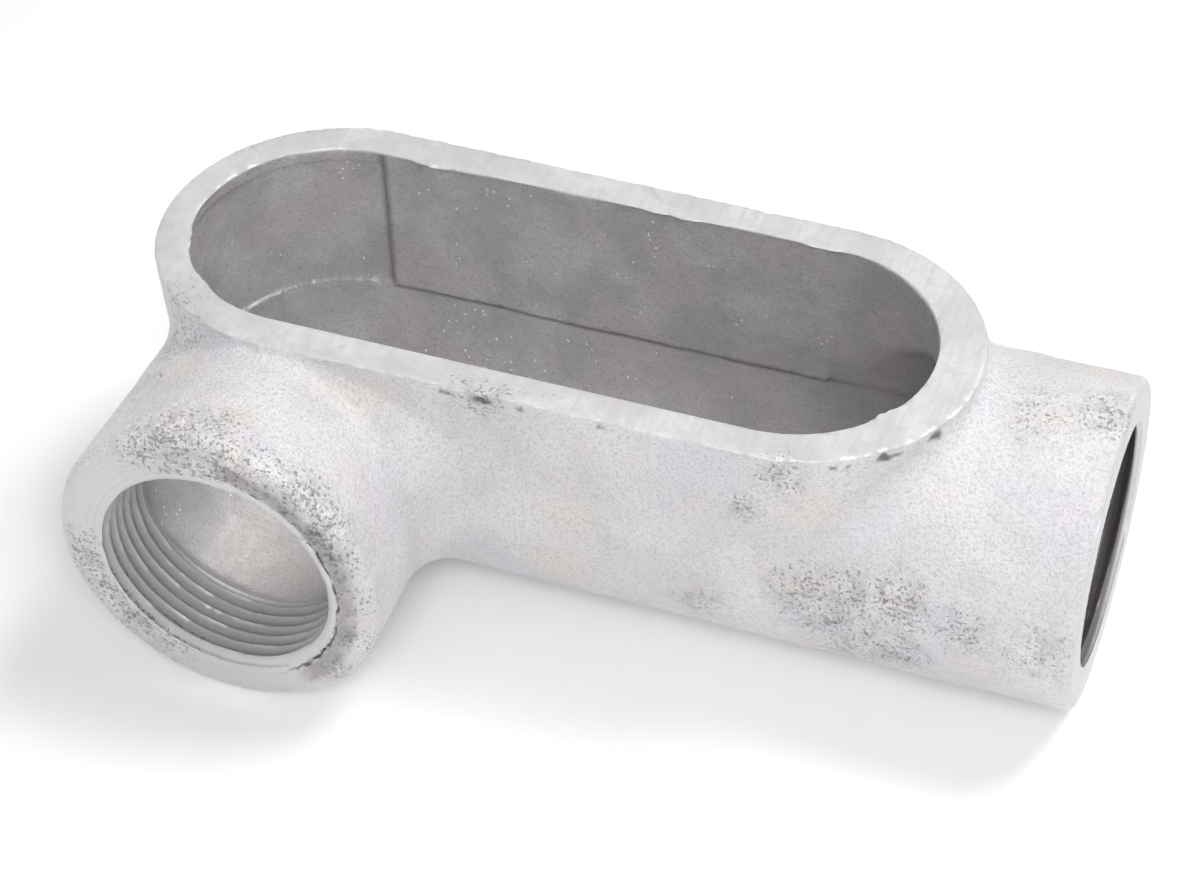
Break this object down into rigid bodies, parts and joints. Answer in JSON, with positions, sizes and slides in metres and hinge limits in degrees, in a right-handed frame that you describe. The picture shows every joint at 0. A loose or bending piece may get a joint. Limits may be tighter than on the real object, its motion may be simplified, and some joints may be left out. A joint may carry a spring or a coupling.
{
  "type": "conduit body",
  "caption": "Cast L-shaped conduit body, left-hand side outlet, obround cover opening on top, threaded hub in line and threaded hub on the side.",
  "frame": {"origin": "centre of the bounding box in plan, at the casting's lowest level", "axes": "+X along the in-line hub, towards its face; -Y along the side hub, towards its face; +Z out of the cover opening"},
  "size_m": [0.1613, 0.0814, 0.0566],
  "materials": {
    "casting": "satin"
  },
  "bodies": {
    "root": {"conduit_body": "casting"}
  },
  "joints": []
}
